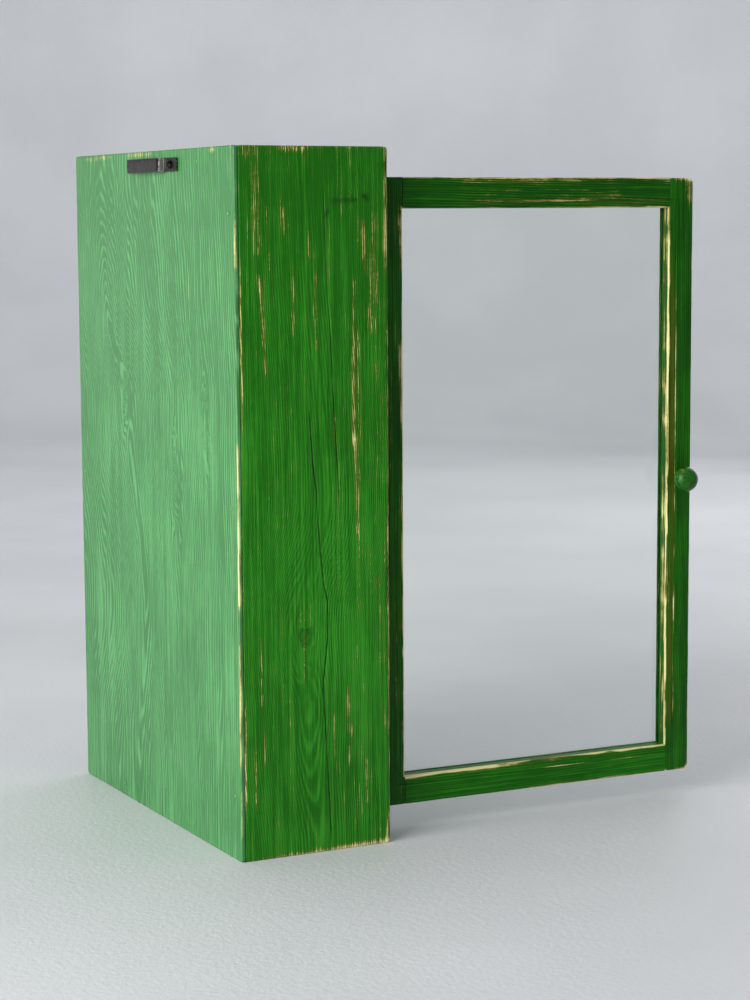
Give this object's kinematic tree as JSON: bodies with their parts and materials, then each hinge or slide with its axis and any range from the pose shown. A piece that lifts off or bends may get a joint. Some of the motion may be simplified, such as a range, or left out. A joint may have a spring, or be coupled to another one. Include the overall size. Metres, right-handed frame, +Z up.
{
  "type": "hanging wall cabinet",
  "caption": "Small green painted wall cabinet with a glazed door on butt hinges, inner shelves, a turned knob and a steel strap on its back to hang it by.",
  "frame": {"origin": "centre of the bottom board's underside", "axes": "+Z up; -Y out of the front, where the door is; +Y out of the back, towards the wall; +X to the right seen from the front"},
  "size_m": [0.4032, 0.5156, 0.65],
  "materials": {
    "green_pine": "worn gloss paint over pine",
    "green_back": "worn thin paint over plywood",
    "bare_pine": "bare",
    "black_steel": "worn black",
    "hinge_steel": "dull",
    "catch_plastic": "matte",
    "clear_glass": "clear"
  },
  "bodies": {
    "cabinet": {"back_panel": "green_back", "back_pin_bottom_10": "green_back", "back_pin_bottom_9": "green_back", "back_pin_left_1": "green_back", "back_pin_left_2": "green_back", "back_pin_left_3": "green_back", "back_pin_right_4": "green_back", "back_pin_right_5": "green_back", "back_pin_right_6": "green_back", "back_pin_top_7": "green_back", "back_pin_top_8": "green_back", "bottom_board": "green_pine", "catch_case": "catch_plastic", "catch_magnet": "hinge_steel", "catch_screw_lower": "hinge_steel", "catch_screw_upper": "hinge_steel", "dowel_bottom_left_front": "bare_pine", "dowel_bottom_left_rear": "bare_pine", "dowel_bottom_right_front": "bare_pine", "dowel_bottom_right_rear": "bare_pine", "dowel_top_left_front": "bare_pine", "dowel_top_left_rear": "bare_pine", "dowel_top_right_front": "bare_pine", "dowel_top_right_rear": "bare_pine", "hanger_screw_left": "black_steel", "hanger_screw_right": "black_steel", "hanger_strap": "black_steel", "hinge_lower_case_leaf": "hinge_steel", "hinge_lower_case_leaf_screw_lower": "hinge_steel", "hinge_lower_case_leaf_screw_upper": "hinge_steel", "hinge_lower_pin": "hinge_steel", "hinge_upper_case_leaf": "hinge_steel", "hinge_upper_case_leaf_screw_lower": "hinge_steel", "hinge_upper_case_leaf_screw_upper": "hinge_steel", "hinge_upper_pin": "hinge_steel", "shelf_lower": "green_pine", "shelf_upper": "green_pine", "side_panel_left": "green_pine", "side_panel_right": "green_pine", "top_board": "green_pine"},
    "door": {"door_knob": "green_pine", "door_rail_bottom": "green_pine", "door_rail_top": "green_pine", "door_stile_hinge": "green_pine", "door_stile_knob": "green_pine", "glass_pane": "clear_glass", "glazing_bead_bottom": "green_pine", "glazing_bead_hinge": "green_pine", "glazing_bead_knob": "green_pine", "glazing_bead_top": "green_pine", "hinge_lower_door_leaf": "hinge_steel", "hinge_lower_door_leaf_screw_lower": "hinge_steel", "hinge_lower_door_leaf_screw_upper": "hinge_steel", "hinge_upper_door_leaf": "hinge_steel", "hinge_upper_door_leaf_screw_lower": "hinge_steel", "hinge_upper_door_leaf_screw_upper": "hinge_steel", "knob_screw": "hinge_steel", "strike_plate": "hinge_steel", "strike_screw": "hinge_steel"}
  },
  "joints": [
    {"name": "door_hinge", "type": "hinge", "parent": "cabinet", "child": "door", "pos_m": [-0.1755, -0.0775, 0], "axis": [0, 0, -1], "range_deg": [-91, 84]}
  ]
}
